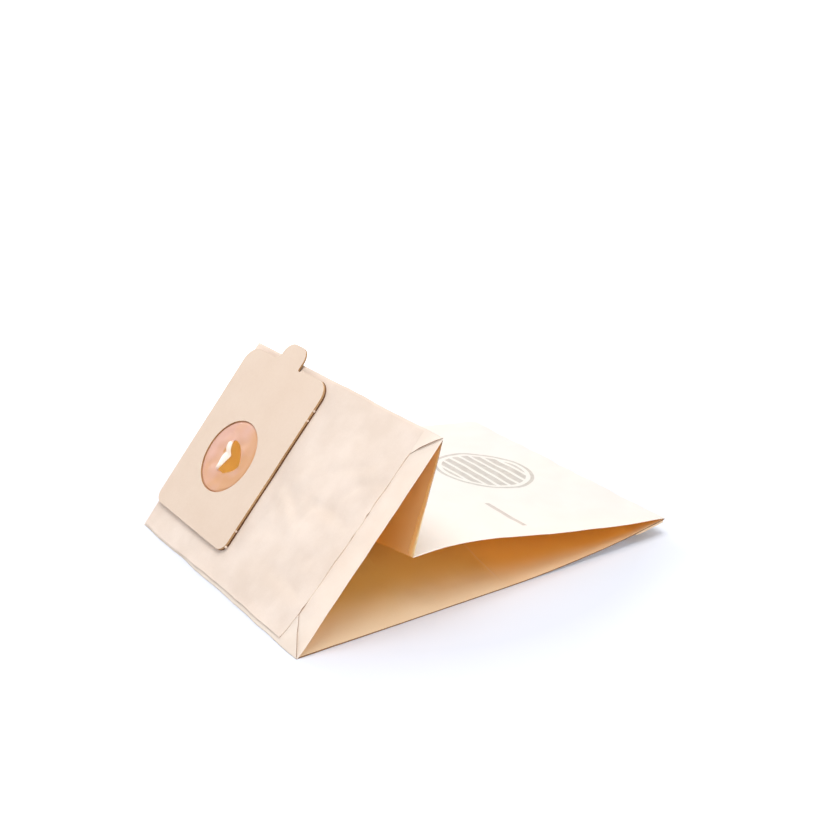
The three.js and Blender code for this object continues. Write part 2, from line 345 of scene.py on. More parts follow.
# Soft creases on the block bottom: each runs between two places, given by their rise and
# distance across, and has a height (below zero for a groove) and a width
soft_creases = [
    (124, 17, 104, 43, -0.5, 1.7), (104, 43, 93, 66, -0.45, 2.0), (88, 30, 85, 7, -0.5, 1.5),
    (57, 66, 73, 62, -0.75, 2.8), (73, 62, 74, 44, -0.8, 2.8), (74, 44, 71, 25, -0.7, 2.8),
    (68, 95, 54, 67, 0.95, 3.0), (71, 86, 63, 71, -0.85, 2.6), (87, 43, 96, 36, -0.5, 3.0),
    (96, 36, 103, 20, -0.5, 3.0), (28, 59, 27, 30, -0.6, 3.5), (43, 39, 51, 35, -0.6, 2.2),
    (78, 84, 88, 77, 0.7, 3.0), (60, 90, 44, 98, -0.55, 3.2),
    (40, 80, 30, 100, 0.6, 3.5), (68, 7, 66, 17, -0.4, 1.5),
]


def crease_height(rise, over):
    height = 0.0
    for rise_a, over_a, rise_b, over_b, most, half_width in soft_creases:
        run, side = rise_b - rise_a, over_b - over_a
        share = ((rise - rise_a) * run + (over - over_a) * side) / (run ** 2 + side ** 2)
        held = min(1.0, max(0.0, share))
        away = math.hypot(rise - rise_a - held * run, over - over_a - held * side)
        height += most * math.exp(-(away / half_width) ** 2)
    return height


# Where the stiff collar lies, as its middle and half size in rise and across, and how much
# of the dents and creases is left under it, at the ridge and at the bag's side edges. A fade
# is the distance over which they change, and before it the place where the change starts
collar_middle = (85.0, 153.5)
collar_half = (66.5, 46.0)
collar_share = 0.12
collar_fade = 12.0
ridge_share = 0.5
ridge_fade = (92.0, 22.0)
side_share = 0.45
side_fade = 9.0
floor_fade = (0.5, 6.0)
sideways_share = 0.5
bottom_layer = 3.0


def handled(points):
    """Points with the paper's dents, which die out under the stiff collar."""
    made = np.array(points, float)
    for n, p in enumerate(made):
        rise = float(p @ panel_up)
        height = -float(p @ panel_in)
        calm = 1.0
        crease = 0.0
        if height > -bottom_layer:
            away = max(abs(rise - collar_middle[0]) - collar_half[0],
                       abs(p[1] - collar_middle[1]) - collar_half[1])
            calm = lerp(collar_share, 1.0, smooth_step(away / collar_fade))
            calm *= lerp(1.0, ridge_share, smooth_step((rise - ridge_fade[0]) / ridge_fade[1]))
            crease = crease_height(rise, p[1])
        over_floor = smooth_step((p[2] - floor_fade[0]) / floor_fade[1])
        move = dents(p) * calm
        move[2] *= over_floor
        move[1] *= sideways_share
        fade = smooth_step(min(p[1], bag_width - p[1]) / side_fade)
        move *= lerp(side_share, 1.0, fade)
        made[n] = p + move - panel_in * crease * calm * over_floor
    return made


weld_gap = 2e-6
soft_angle = math.radians(28)


def mesh_object(name, points, faces, tags=None, materials=(), **values):
    """A smooth mesh with its doubles merged, and with named values at its points."""
    mesh = bpy.data.meshes.new(name)
    mesh.from_pydata([tuple(p) for p in placed(points)], [], faces)
    for material in materials:
        mesh.materials.append(material)
    if tags is not None:
        mesh.polygons.foreach_set("material_index", tags)
    for key, numbers in values.items():
        mesh.attributes.new(key, "FLOAT", "POINT").data.foreach_set("value", numbers)
    shaped = bmesh.new()
    shaped.from_mesh(mesh)
    bmesh.ops.remove_doubles(shaped, verts=shaped.verts, dist=weld_gap)
    bmesh.ops.dissolve_degenerate(shaped, edges=shaped.edges, dist=weld_gap)
    bmesh.ops.recalc_face_normals(shaped, faces=shaped.faces)
    for face in shaped.faces:
        face.smooth = True
    for edge in shaped.edges:
        kinds = {face.material_index for face in edge.link_faces}
        inner_edge = len(edge.link_faces) == 2 and len(kinds) == 1
        edge.smooth = inner_edge and edge.calc_face_angle(0) < soft_angle
    shaped.to_mesh(mesh)
    shaped.free()
    made = bpy.data.objects.new(name, mesh)
    bpy.context.scene.collection.objects.link(made)
    return made


def linear(red, green, blue):
    """A screen colour from 0 to 255 as the renderer's linear one."""
    parts = [c / 255 for c in (red, green, blue)]
    return [c / 12.92 if c <= 0.04045 else ((c + 0.055) / 1.055) ** 2.4 for c in parts] + [1]


def new_tree(name):
    """A material and its empty node tree."""
    material = bpy.data.materials.new(name)
    material.use_nodes = True
    material.node_tree.nodes.clear()
    return material, material.node_tree


def add_node(tree, kind, inputs=None, **values):
    """A new node, with the constants of its sockets."""
    node = tree.nodes.new(kind)
    for key, value in values.items():
        setattr(node, key, value)
    for key, value in (inputs or {}).items():
        node.inputs[key].default_value = value
    return node


def paper_material(name, light, dark, glow, through, blotch=0.5, deep=None, deep_through=0,
                   fibre_scale=900, relief=0.25):
    """Filter paper: felted fibres, faint clouds of colour, and light coming through. A fold shade
    colour, where given, is painted shade mixed in by the tuck value, which also lets more light
    through there.
    """
    material, tree = new_tree(name)
    link = tree.links.new
    out = add_node(tree, "ShaderNodeOutputMaterial")
    place = add_node(tree, "ShaderNodeTexCoord").outputs["Object"]
    clouds = add_node(tree, "ShaderNodeTexNoise", {"Scale": 38, "Detail": 3, "Roughness": 0.55})
    fibres = add_node(tree, "ShaderNodeTexNoise",
                      {"Scale": fibre_scale, "Detail": 4, "Roughness": 0.7})
    link(place, clouds.inputs["Vector"])
    link(place, fibres.inputs["Vector"])
    cloud_share = add_node(tree, "ShaderNodeMapRange",
                           {"From Min": 0.35, "From Max": 0.7, "To Max": blotch})
    link(clouds.outputs["Fac"], cloud_share.inputs["Value"])
    fibre_share = add_node(tree, "ShaderNodeMapRange",
                           {"From Min": 0.3, "From Max": 0.75, "To Max": 0.35})
    link(fibres.outputs["Fac"], fibre_share.inputs["Value"])
    both = add_node(tree, "ShaderNodeMath", operation="ADD", use_clamp=True)
    link(cloud_share.outputs["Result"], both.inputs[0])
    link(fibre_share.outputs["Result"], both.inputs[1])
    mixed_colour = add_node(tree, "ShaderNodeMix", {"A": light, "B": dark}, data_type="RGBA")
    link(both.outputs["Value"], mixed_colour.inputs["Factor"])
    colour = mixed_colour.outputs["Result"]
    shader = add_node(tree, "ShaderNodeBsdfPrincipled",
                      {"Roughness": 0.82, "Specular IOR Level": 0.25})
    bump = add_node(tree, "ShaderNodeBump", {"Strength": relief, "Distance": 0.0002})
    link(fibres.outputs["Fac"], bump.inputs["Height"])
    link(bump.outputs["Normal"], shader.inputs["Normal"])
    behind = add_node(tree, "ShaderNodeBsdfTranslucent", {"Color": glow})
    mixed = add_node(tree, "ShaderNodeMixShader", {"Fac": through})
    if deep is not None:
        # Painted fold shade: the tuck value mixes in the fold shade colour
        tucked = add_node(tree, "ShaderNodeAttribute", attribute_name="tuck").outputs["Fac"]
        fold_shaded = add_node(tree, "ShaderNodeMix", {"B": deep}, data_type="RGBA")
        link(tucked, fold_shaded.inputs["Factor"])
        link(colour, fold_shaded.inputs["A"])
        colour = fold_shaded.outputs["Result"]
        tucked_through = add_node(tree, "ShaderNodeMapRange",
                                  {"To Min": through, "To Max": deep_through})
        link(tucked, tucked_through.inputs["Value"])
        link(tucked_through.outputs["Result"], mixed.inputs["Fac"])
    link(colour, shader.inputs["Base Color"])
    link(shader.outputs["BSDF"], mixed.inputs[1])
    link(behind.outputs["BSDF"], mixed.inputs[2])
    link(mixed.outputs["Shader"], out.inputs["Surface"])
    return material


bottom_paper = paper_material("bottom_paper", linear(252, 239, 225), linear(246, 230, 214),
                              linear(254, 212, 150), 0.1, 0.9)
# Same paper as the block bottom, painted paler and nearly white: painted light on the top sheet,
# where the lamp above falls most. The back sheet and the top sheet's pressed edges share it.
lit_top_paper = paper_material("lit_top_paper", linear(251, 253, 250), linear(249, 249, 244),
                           linear(255, 234, 176), 0.25)
# Same paper as the block bottom, painted a deeper tan as painted shade on the side turned from
# the lamps. Its fold shade colour is painted shade with the warm glow of light bounced deep in
# the fold.
shaded_gusset_paper = paper_material("shaded_gusset_paper", linear(251, 226, 191), linear(244, 215, 176),
                              linear(255, 220, 132), 0.2, 0.5, linear(254, 202, 114), 0.55)
lining_paper = paper_material("lining_paper", linear(254, 241, 204), linear(251, 234, 190),
                              linear(255, 245, 216), 0.85)
# Same paper as the rest, painted brown: painted shade on the pressed edges at the floor and at
# the corners, and on the flaps' cut edges in the mitre gaps
shaded_edge_paper = paper_material("shaded_edge_paper", linear(148, 110, 78), linear(118, 86, 60),
                            linear(200, 140, 80), 0.1)

# Two plain grey shapes on the top sheet: a ring round a striped disc, each given by its
# radius and its width inward, and a bar
mark_centre = (204.5, 107.0)
mark_rings = ((33.5, 2.5), (28.0, 28.0))
stripe_pitch = 8.0
stripe_gap = 2.6
bar_centre = (165.0, 33.0)
bar_size = (3.4, 38.0)
mark_floor = 12.5
ink = linear(186, 184, 180)
ink_scale = 260
ink_least = 0.35
ink_range = 0.6


def mark_top(material):
    """Mixes the plain shapes' grey into the paper's colour."""
    tree = material.node_tree
    link = tree.links.new
    shader = next(n for n in tree.nodes if n.type == "BSDF_PRINCIPLED")
    paper_colour = shader.inputs["Base Color"].links[0].from_socket

    def math_node(operation, a, b):
        node = add_node(tree, "ShaderNodeMath", operation=operation)
        for socket, value in zip(node.inputs, (a, b)):
            if isinstance(value, (int, float)):
                socket.default_value = value
            else:
                link(value, socket)
        return node.outputs["Value"]

    place = add_node(tree, "ShaderNodeTexCoord").outputs["Object"]
    parts = add_node(tree, "ShaderNodeSeparateXYZ")
    link(place, parts.inputs["Vector"])
    x = math_node("SUBTRACT", parts.outputs["X"], float(shift[0] + mark_centre[0]) / 1000)
    y = math_node("SUBTRACT", parts.outputs["Y"], float(shift[1] + mark_centre[1]) / 1000)
    away = math_node("POWER", math_node("ADD", math_node("MULTIPLY", x, x),
                                        math_node("MULTIPLY", y, y)), 0.5)
    inked = None
    for radius, width in mark_rings:
        off = math_node("ABSOLUTE", math_node("SUBTRACT", away, (radius - width / 2) / 1000), 0)
        inside = math_node("LESS_THAN", off, width / 2000)
        if inked is not None:
            stripes = math_node("PINGPONG", x, stripe_pitch / 2000)
            inside = math_node("MULTIPLY", inside,
                               math_node("GREATER_THAN", stripes, stripe_gap / 2000))
        inked = inside if inked is None else math_node("MAXIMUM", inked, inside)
    bar = None
    for axis, centre, size in (("X", shift[0] + bar_centre[0], bar_size[0]),
                               ("Y", shift[1] + bar_centre[1], bar_size[1])):
        off = math_node("ABSOLUTE", math_node("SUBTRACT", parts.outputs[axis],
                                              float(centre) / 1000), 0)
        inside = math_node("LESS_THAN", off, size / 2000)
        bar = inside if bar is None else math_node("MULTIPLY", bar, inside)
    inked = math_node("MAXIMUM", inked, bar)
    above = math_node("GREATER_THAN", parts.outputs["Z"], mark_floor / 1000)
    faded = add_node(tree, "ShaderNodeTexNoise", {"Scale": ink_scale})
    link(place, faded.inputs["Vector"])
    wear = math_node("ADD", math_node("MULTIPLY", faded.outputs["Fac"], ink_range), ink_least)
    strength = math_node("MULTIPLY", math_node("MULTIPLY", inked, above), wear)
    mixed = add_node(tree, "ShaderNodeMix", {"B": ink}, data_type="RGBA")
    link(strength, mixed.inputs["Factor"])
    link(paper_colour, mixed.inputs["A"])
    link(mixed.outputs["Result"], shader.inputs["Base Color"])


mark_top(lit_top_paper)

papers = [bottom_paper, lit_top_paper, shaded_gusset_paper, shaded_edge_paper]
bottom_face, top_face, gusset_face, edge_face = range(len(papers))

# How deep in the gusset's fold a place is, against the height that the fold is open. It sets how
# much of the painted fold shade a place takes.
deep_ratio = 0.85
deep_least = 1.2
deep_most = 34.0
open_heights = [row.top[2] - row.back[2] for row in rows]
deep_at = [max(deep_least, min(deep_most, deep_ratio * height)) for height in open_heights]
# The upper leaf keeps some painted fold shade up to its rim, and along the packing crease the
# painted fold shade is lessened, a pale line painted as the crease's highlight
upper_least = 0.5
crease_row = corner_rows + crease_rows + 1
crease_highlight = 0.6


def upper_depth(r, share):
    way = np.linalg.norm(rows[r].upper[-1] - rows[r].upper[0])
    depth = lerp(upper_least, 1.0, smooth_step(share * way / deep_at[r]))
    return depth * crease_highlight if r == crease_row else depth


def lower_depth(r, share):
    way = np.linalg.norm(rows[r].lower[-1] - rows[r].lower[0])
    depth = smooth_step((1 - share) * way / deep_at[r])
    return depth * crease_highlight if r == crease_row else depth


skin = Skin()
skin.grid([wide(row.top) for row in rows[:corner_rows + 1]], bottom_face)
skin.grid([wide(row.top) for row in rows[corner_rows:]], top_face)
skin.grid([wide(row.back) for row in rows], top_face)
near = [
    ([row.top_edge for row in rows[:corner_rows + 1]], edge_face, None),
    ([row.top_edge for row in rows[corner_rows:]], top_face, None),
    ([row.upper for row in rows], gusset_face, upper_depth),
    ([row.lower for row in rows], gusset_face, lower_depth),
    ([row.back_edge for row in rows], edge_face, None),
    # The corner sheets take the full painted fold shade
    (corner_sheets, gusset_face, lambda r, share: 1.0),
]
for lines, tag, depth in near:
    skin.grid(lines, tag, depth)
    skin.grid(mirrored(lines), tag, depth)
panel_side = [rimmed(on_bottom(v, 0, 0)) for v in rises]
gusset_side = corner_sheets[0][::-1]
side_arc = [edge_arc(a, b) for a, b in zip(panel_side, gusset_side)]
skin.grid(side_arc)
skin.grid(mirrored(side_arc))
skin.holed(rises, across, 0, hole_block(rises, across, hole_radius + hole_margin),
           (inlet_rise, inlet_across), hole_radius)
bag = mesh_object("bag_paper", handled(skin.points), skin.faces, skin.tags,
                  papers + [lining_paper] * len(papers), tuck=skin.depths)
thick = bag.modifiers.new("wall", "SOLIDIFY")
thick.thickness = wall / 1000
thick.offset = -1
thick.material_offset = len(papers)
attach(bag, "root")
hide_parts("paper_bag")

# Turned end
# Past the seam the bag's end is turned under and glued to the back sheet, which makes a
# flat double band along its underside.
end_flap = 23.0
end_flap_thickness = 1.5
flap_short = 0.9
flap_overlap = 0.05
flap_steps = 8
turned_paper = paper_material("turned_paper", linear(238, 210, 176), linear(224, 192, 154),
                              linear(254, 212, 150), 0.1)
flap_under = []
flap_over = []
for i in range(flap_steps + 1):
    x = lerp(end_reach - end_flap, end_reach - flap_short, i / flap_steps)
    over = back_height(x) + flap_overlap
    thin = end_flap_thickness * math.sqrt(min(1.0, 0.25 + i / 2))
    flap_over.append([np.array([x, y, over]) for y in across])
    flap_under.append([np.array([x, y, over - thin]) for y in across])
flap = Skin()
flap.grid(flap_over)
flap.grid(flap_under)
flap.grid([flap_over[0], flap_under[0]])
flap.grid([flap_over[-1], flap_under[-1]])
for side in (0, -1):
    flap.grid([[line[side] for line in flap_over], [line[side] for line in flap_under]])
turned_end = mesh_object("turned_end", handled(flap.points), flap.faces, flap.tags,
                         [turned_paper])
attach(turned_end, "root")
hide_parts("paper_bag")

# Bottom flaps
# The bag's end is closed by folding it over: the two gusset flaps first, then the long
# flaps from the floor edge and the ridge, which are mitred at the bag's corners.
flap_meet = 61.0
flap_inset = (0.3, 0.2)
flap_height = 0.06
flap_paper = 0.32
mitre_lifts = (0.4, 0.75)
mitre_width = 2.5
mitre_over = 4.0
mitre_corner_fade = 3.0
mitre_side_fade = (10.0, 4.0)
sheet_spacing = 2.8
sheet_room = 16.0
sheet_weld = 0.06
sheet_sliver = 0.03
largest_gap = 8


def circle(rise, over, radius, steps=96):
    turns = [2 * math.pi * i / steps for i in range(steps)]
    return [(rise + radius * math.cos(t), over + radius * math.sin(t)) for t in turns]


def facing_front(piece):
    """Turns a sheet's faces outward, away from the bag."""
    if sum(p.area * p.normal.x for p in piece.data.polygons) > 0:
        piece.data.flip_normals()


def cut_sheet(name, outlines, holes, height, thickness, materials, rim=0, lift=None):
    """A flat piece on the block bottom, cut to outlines in rise and distance across."""
    shaped = bmesh.new()
    for loop in outlines + holes:
        corners = [shaped.verts.new((rise, over, 0)) for rise, over in loop]
        for a, b in zip(corners, corners[1:] + corners[:1]):
            shaped.edges.new((a, b))
    bmesh.ops.triangle_fill(shaped, edges=shaped.edges, use_beauty=True)
    for normal, size in (((1, 0, 0), bottom_depth + sheet_room), ((0, 1, 0), bag_width)):
        for k in range(1, int(size / sheet_spacing)):
            cut = tuple(k * sheet_spacing * n for n in normal)
            parts = shaped.verts[:] + shaped.edges[:] + shaped.faces[:]
            bmesh.ops.bisect_plane(shaped, geom=parts, plane_co=cut, plane_no=normal)
    bmesh.ops.triangulate(shaped, faces=shaped.faces)
    bmesh.ops.join_triangles(shaped, faces=shaped.faces, angle_face_threshold=0.1,
                             angle_shape_threshold=0.7)
    bmesh.ops.remove_doubles(shaped, verts=shaped.verts, dist=sheet_weld)
    bmesh.ops.dissolve_degenerate(shaped, edges=shaped.edges, dist=sheet_sliver)
    open_edges = [edge for edge in shaped.edges if len(edge.link_faces) == 1]
    bmesh.ops.holes_fill(shaped, edges=open_edges, sides=largest_gap)
    shaped.verts.index_update()
    shaped.verts.ensure_lookup_table()
    flat_places = [(v.co.x, v.co.y) for v in shaped.verts]
    faces = [[v.index for v in f.verts] for f in shaped.faces]
    shaped.free()
    points = [on_bottom(rise, over, height + (lift(rise, over) if lift else 0))
              for rise, over in flat_places]
    made = mesh_object(name, handled(points), faces, None, materials)
    facing_front(made)
    wall_modifier = made.modifiers.new("wall", "SOLIDIFY")
    wall_modifier.thickness = thickness / 1000
    wall_modifier.offset = 1
    wall_modifier.material_offset_rim = rim
    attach(made, "root")
    return made


def mitre_lift(rise, over):
    """The flaps' corners stand a little off the gusset flap below them."""
    side = min(over, bag_width - over)
    corner = min(rise, bottom_depth - rise)
    off_mitre = (side - corner) / math.sqrt(2)
    near_edge = math.exp(-(off_mitre / mitre_width) ** 2) if off_mitre < mitre_over else 0.0
    most = mitre_lifts[rise > bottom_depth / 2]
    inward = 1 - smooth_step((side - mitre_side_fade[0]) / mitre_side_fade[1])
    return most * near_edge * smooth_step(corner / mitre_corner_fade) * inward


floor_flap = [flap_inset, (flap_meet, flap_meet), (flap_meet, bag_width - flap_meet),
              (flap_inset[0], bag_width - flap_inset[1])]
ridge_flap = [(bottom_depth - rise, over) for rise, over in floor_flap]
inlet_cut = circle(inlet_rise, inlet_across, hole_radius)
# The flaps' cut edges take the shaded edge paper: painted shade in the gaps at the mitres
bottom_flaps = cut_sheet("bottom_flaps", [floor_flap, ridge_flap], [], flap_height, flap_paper,
                         [bottom_paper, shaded_edge_paper], 1, mitre_lift)
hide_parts("paper_bag")

# Cover sheet
# A plain oblong of the same paper is pasted over the flaps, all but a strip at the near
# side, and its lower corner was cut a little askew.
cover_height = 0.66
cover_paper = 0.32
cover_outline = [(3.0, 21.4), (2.6, 120.0), (1.2, 150.0), (1.2, 198.5), (139.5, 198.5),
                 (139.5, 16.0), (21, 18.7)]
near_edge_across = (20.5, 16.0)
near_edge_rise = 139.5
near_edge_reach = 14.0
edge_down = 0.22
middle_down = 0.3
middle_span = (22.0, 120.0)
middle_fade = 8.0
upper_down = 0.3
upper_from = (124.0, 4.0)
lip_up = 0.3
lip_rise = (2.0, 4.0)
lip_across = (150.0, 30.0)
loose_places = (84.0, 69.0, 22.5)
loose_up = 0.55
loose_width = 1.8
loose_reach = 4.0
sheet_wave = 0.1
sheet_wave_length = 7.0


def cover_lift(rise, over):
    """Beside the flaps the sheet's near edge lies down on the strip, but for a few loose
    places, and its lower edge stands up a little."""
    from_edge = over - lerp(*near_edge_across, rise / near_edge_rise)
    past_low = smooth_step((rise - middle_span[0]) / middle_fade)
    below_high = smooth_step((middle_span[1] - rise) / middle_fade)
    down = edge_down + middle_down * past_low * below_high
    down += upper_down * smooth_step((rise - upper_from[0]) / upper_from[1])
    lift = lip_up * (1 - smooth_step((rise - lip_rise[0]) / lip_rise[1]))
    lift *= smooth_step((lip_across[0] - over) / lip_across[1])
    for place in loose_places:
        bump = math.exp(-((rise - place) / loose_width) ** 2)
        lift += loose_up * bump * (1 - smooth_step(from_edge / loose_reach))
    lift -= down * (1 - smooth_step(from_edge / near_edge_reach))
    return lift + sheet_wave * math.sin(rise / sheet_wave_length)


cover_stock = paper_material("cover_stock", linear(251, 235, 221), linear(239, 221, 205),
                             linear(254, 212, 150), 0.1, 0.95)
cover_sheet = cut_sheet("bottom_cover_sheet", [cover_outline], [inlet_cut], cover_height,
                        cover_paper, [cover_stock], 0, cover_lift)
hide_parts("bottom_cover_patch")

# Under board
# The collar is two plies of stiff grey-brown board, die-cut with a finger tab and glued
# together. Of the under ply only the edge shows, and it holds the rubber disc in a seat.
board_low = 18.5
board_high = 137.2
board_near = 107.5
board_far = 199.5
upper_corner = 11.0
lower_corner = 7.0
tab_near = 142.5
tab_far = 166.5
tab_height = 13.2
tab_tip = 8.5
tab_root = 4.0
tab_notch = 1.6
under_tab_inset = 1.6
under_height = 1.04
under_thickness = 1.24
seat_radius = 31.2
arris_width = 0.22
arris_angle = math.radians(50)
closest_corners = 0.01


def arc(rise, over, radius, start, end, steps=10):
    turns = [math.radians(lerp(start, end, i / steps)) for i in range(steps + 1)]
    return [(rise + radius * math.cos(t), over + radius * math.sin(t)) for t in turns]


def board_outline(inset):
    """The board's outline, with the tab smaller by the inset all round."""
    top = board_high + tab_height - inset
    near, far = tab_near + inset, tab_far - inset
    tip = tab_tip - inset
    line = arc(board_low + lower_corner, board_near + lower_corner, lower_corner, 180, 270)
    line += arc(board_high - upper_corner, board_near + upper_corner, upper_corner, -90, 0)
    line += arc(board_high, near - tab_notch, tab_notch, -90, -270)
    line += arc(top - tip, near + tip, tip, -90, 0)
    line += arc(top - tip, far - tip, tip, 0, 90)
    line += arc(board_high + tab_root, far + tab_root, tab_root, -90, -180)
    line += arc(board_high - upper_corner, board_far - upper_corner, upper_corner, 0, 90)
    line += arc(board_low + lower_corner, board_far - lower_corner, lower_corner, 90, 180)
    return [p for n, p in enumerate(line) if math.dist(p, line[n - 1]) > closest_corners]


def board_material(name, light, dark, grain):
    """Pressed board: even, with fine fibres and a few darker flecks."""
    return paper_material(name, light, dark, light, 0.0, grain, fibre_scale=520, relief=0.15)


def cut_board(name, inset, hole, height, thickness, cut_face):
    """A ply of board with its opening, its cut faces and its slightly rounded arrises, which are
    painted pale as a highlight.
    """
    board = cut_sheet(name, [board_outline(inset)], [circle(inlet_rise, inlet_across, hole)],
                      height, thickness, [board_face, cut_face, arris_highlight], 1)
    arris = board.modifiers.new("arris", "BEVEL")
    arris.width = arris_width / 1000
    arris.segments = 2
    arris.material = 2
    arris.limit_method = "ANGLE"
    arris.angle_limit = arris_angle
    return board


board_face = board_material("board_face", linear(230, 209, 190), linear(223, 199, 178), 0.35)
# The arrises' pale colour is a painted highlight
arris_highlight = board_material("arris_highlight", linear(252, 232, 208), linear(240, 214, 184), 0.4)
brown_cut = board_material("brown_cut", linear(118, 78, 44), linear(88, 56, 30), 0.8)
back_board = cut_board("collar_under_board", under_tab_inset, seat_radius, under_height,
                       under_thickness, brown_cut)
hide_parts("collar_back_board")

# Top board
# The outer ply has the same outline and the round inlet. Its cut edge is tan, mottled darker.
top_board_height = 2.32
top_board_thickness = 1.28
opening_radius = 24.7
tan_cut = board_material("tan_cut", linear(200, 162, 118), linear(164, 122, 80), 0.9)
front_board = cut_board("collar_top_board", 0, opening_radius, top_board_height,
                        top_board_thickness, tan_cut)
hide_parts("collar_front_board")

# Torn nicks
# The knife left four small pale tufts of fibre standing out of the collar's near cut
# edge, two toward the tab and two toward the floor.
nick_rises = (119.0, 112.0, 33.6, 22.6)
nick_length = 1.7
nick_width = 0.65
nick_end = 0.02
nick_out = 0.12
nick_height = 2.5
nick_stretch = 1.5
nick_roughness = 0.7
nick_rings = 5
nick_sides = 8
nicks = Skin()
for k, rise in enumerate(nick_rises):
    lines = []
    for i in range(nick_rings + 1):
        along = (i / nick_rings - 0.5) * nick_length
        swell = math.sqrt(max(nick_end, 1 - (2 * i / nick_rings - 1) ** 2)) * nick_width
        line = []
        for j in range(nick_sides + 1):
            side = j % nick_sides
            turn = 2 * math.pi * side / nick_sides
            rough = 1 + nick_roughness * noise.noise(Vector((k * 3.7, i * 1.1, side * 1.7)))
            line.append(on_bottom(rise + along,
                                  board_near + nick_out - swell * rough * math.cos(turn),
                                  nick_height + nick_stretch * swell * rough * math.sin(turn)))
        lines.append(line)
    nicks.grid(lines)
    nicks.grid([[lines[0][0]] * (nick_sides + 1), lines[0]])
    nicks.grid([lines[-1], [lines[-1][0]] * (nick_sides + 1)])
torn_nicks = mesh_object("collar_torn_nicks", nicks.points, nicks.faces, nicks.tags,
                         [board_face])
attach(torn_nicks, "root")

# Inlet membrane
# A thin disc of peach rubber, clamped between the plies. Its heart-shaped hole was
# stamped in, and the far side of the hole curls up into a pale lip.
membrane_radius = 30.6
membrane_height = 1.94
membrane_thickness = 0.34
membrane_rings = 22
membrane_bulge = 0.95
bulge_edge = (23.3, 1.3)
ripple_size = 8.0
ripple_height = 0.5
ripple_edge = (18.0, 4.0)
ripple_place = 3.1
ring_growth = 1.2
lip_height = 2.4
lip_lean = 1.2
lip_rings = 5
lip_foot = 0.35
lip_from = (1.0, 3.5)
lip_round = 0.8
tint_slope = (0.024, 0.012)
tint_blotch = 0.7
tint_place = 9.4
# A darker golden colour painted where the lip's foot meets the disc, as the shadow behind the
# lip: its middle, size and strength
spot_centre = (7.4, 1.7)
spot_size = (1.2, 1.7)
spot_strength = 1.6
hole_middle = (-6.0, 0.4)
rim_steps = 6
# Rim of the hole and foot of the lip behind it, as distances from the inlet's middle,
# across the bag and up the slope
hole_rim = [
    (4.8, 9.5, 5.3, 9.8), (2.0, 10.8, 2.2, 11.2), (-2.8, 9.6, -3.0, 10.0),
    (-8.3, 6.1, -8.6, 6.4), (-12.1, 1.6, -12.5, 1.7), (-14.1, -2.0, -14.6, -2.0),
    (-11.8, -6.0, -12.2, -6.3), (-7.2, -9.4, -7.4, -9.8), (-4.6, -10.9, -4.7, -11.3),
    (-0.8, -10.9, -0.8, -11.3), (2.4, -10.4, 5.0, -10.7), (1.3, -6.4, 5.9, -7.4),
    (0.1, -3.1, 6.7, -3.7), (-1.6, 0.3, 6.0, -0.6), (-0.8, 1.6, 5.3, 1.3),
    (2.1, 4.1, 7.8, 3.6), (3.8, 7.1, 8.5, 7.2),
]


def closed_curve(points, steps):
    """Points along a smooth closed curve through the given ones."""
    made = []
    count = len(points)
    for i in range(count):
        a, b, c, d = (np.array(points[(i + k - 1) % count], float) for k in range(4))
        for n in range(steps):
            t = n / steps
            made.append(0.5 * (2 * b + (c - a) * t + (2 * a - 5 * b + 4 * c - d) * t * t
                               + (3 * b - a - 3 * c + d) * t ** 3))
    return made


rim_points = closed_curve(hole_rim, rim_steps)
membrane_lines = []
membrane_values = []
for ring in range(lip_rings + membrane_rings + 1):
    line = []
    for rim_across, rim_rise, foot_across, foot_rise in rim_points:
        edge = np.array([rim_across, rim_rise])
        foot = np.array([foot_across, foot_rise])
        lip = smooth_step((float(np.linalg.norm(foot - edge)) - lip_from[0]) / lip_from[1])
        edge[0] -= lip_lean * lip_height * lip
        turn = math.atan2(foot[1] - hole_middle[1], foot[0] - hole_middle[0])
        rim = membrane_radius * np.array([math.cos(turn), math.sin(turn)])
        if ring < lip_rings:
            lip_share = 1 - ring / (lip_rings - 1)
            place = lerp(foot, edge, lip_share)
        else:
            lip_share = 0.0
            outward = (rim - foot) / np.linalg.norm(rim - foot)
            share = ((ring - lip_rings) / membrane_rings) ** ring_growth
            place = lerp(foot + outward * lip_foot, rim, share)
        from_middle = float(np.linalg.norm(place))
        bulge = membrane_bulge
        bulge *= 1 - smooth_step((from_middle - bulge_edge[0]) / bulge_edge[1])
        x, y = place / ripple_size
        ripple = noise.noise(Vector((x, y, ripple_place))) * ripple_height
        ripple *= 1 - smooth_step((from_middle - ripple_edge[0]) / ripple_edge[1])
        rise = lip * lip_height * math.sin(math.pi / 2 * lip_share) ** lip_round
        line.append(on_bottom(inlet_rise + place[1], inlet_across + place[0],
                              membrane_height + bulge + ripple + rise))
        tint = 0.5 - tint_slope[0] * place[0] - tint_slope[1] * place[1]
        tint += tint_blotch * noise.noise(Vector((x, y, tint_place)))
        # Painted shadow behind the lip, kept off the lip itself
        spot_x, spot_y = (place - spot_centre) / spot_size
        spot = math.exp(-spot_x ** 2 - spot_y ** 2)
        # The lip is painted nearly white: pale thin rubber, and partly a painted highlight on its
        # slope facing the light
        pale = lip if ring < lip_rings else 0.0
        membrane_values.append((tint, pale, spot_strength * spot * (1 - pale)))
    line.append(line[0])
    membrane_values.append(membrane_values[-len(rim_points)])
    membrane_lines.append(line)
membrane_skin = Skin()
membrane_skin.grid(membrane_lines)
tints, lips, spots = ([min(1.0, max(0.0, v[k])) for v in membrane_values] for k in range(3))

